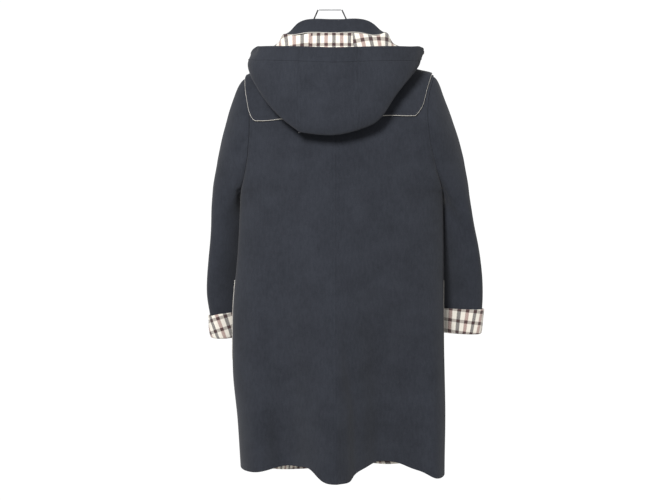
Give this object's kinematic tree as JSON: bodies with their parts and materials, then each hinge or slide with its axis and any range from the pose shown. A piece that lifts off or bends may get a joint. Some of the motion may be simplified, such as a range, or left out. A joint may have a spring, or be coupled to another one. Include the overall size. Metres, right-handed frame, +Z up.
{
  "type": "duffle coat on a hanger",
  "caption": "Knee-length hooded duffle coat of double-faced wool with turned-back cuffs and a shoulder cape, hanging from the wire head of a plain hanger.",
  "frame": {"origin": "the middle line of the hanger's crossbar, where a rail or hook holds it", "axes": "+Z up, the coat's front faces -Y, its back +Y, and the wearer's left is at +X"},
  "size_m": [0.6286, 0.2526, 1.0395],
  "materials": {
    "navy_wool": "felted",
    "checked_wool": "felted",
    "light_binding": "matte",
    "navy_cord": "matte",
    "horn": "satin",
    "black_hanger": "satin",
    "bright_steel": "satin"
  },
  "bodies": {
    "root": {"back_left": "navy_wool", "back_right": "navy_wool", "cuff_left": "checked_wool", "cuff_right": "checked_wool", "front_left": "navy_wool", "front_right": "navy_wool", "hanger_arms": "black_hanger", "hanger_bar": "bright_steel", "hanger_leg_left": "black_hanger", "hanger_leg_right": "black_hanger", "hood_centre": "navy_wool", "hood_left": "navy_wool", "hood_right": "navy_wool", "loop_1": "navy_cord", "loop_2": "navy_cord", "loop_3": "navy_cord", "loop_4": "navy_cord", "neck_facing": "navy_wool", "neck_tape": "light_binding", "patch_left_1": "navy_wool", "patch_left_2": "navy_wool", "patch_left_3": "navy_wool", "patch_left_4": "navy_wool", "patch_right_1": "navy_wool", "patch_right_2": "navy_wool", "patch_right_3": "navy_wool", "patch_right_4": "navy_wool", "pocket_binding_left": "light_binding", "pocket_binding_right": "light_binding", "pocket_left": "navy_wool", "pocket_right": "navy_wool", "sleeve_left": "navy_wool", "sleeve_right": "navy_wool", "tie_1": "navy_cord", "tie_2": "navy_cord", "tie_3": "navy_cord", "tie_4": "navy_cord", "toggle_1": "horn", "toggle_2": "horn", "toggle_3": "horn", "toggle_4": "horn", "yoke_back": "navy_wool", "yoke_binding_back": "light_binding", "yoke_binding_left": "light_binding", "yoke_binding_right": "light_binding", "yoke_front_left": "navy_wool", "yoke_front_right": "navy_wool"}
  },
  "joints": []
}
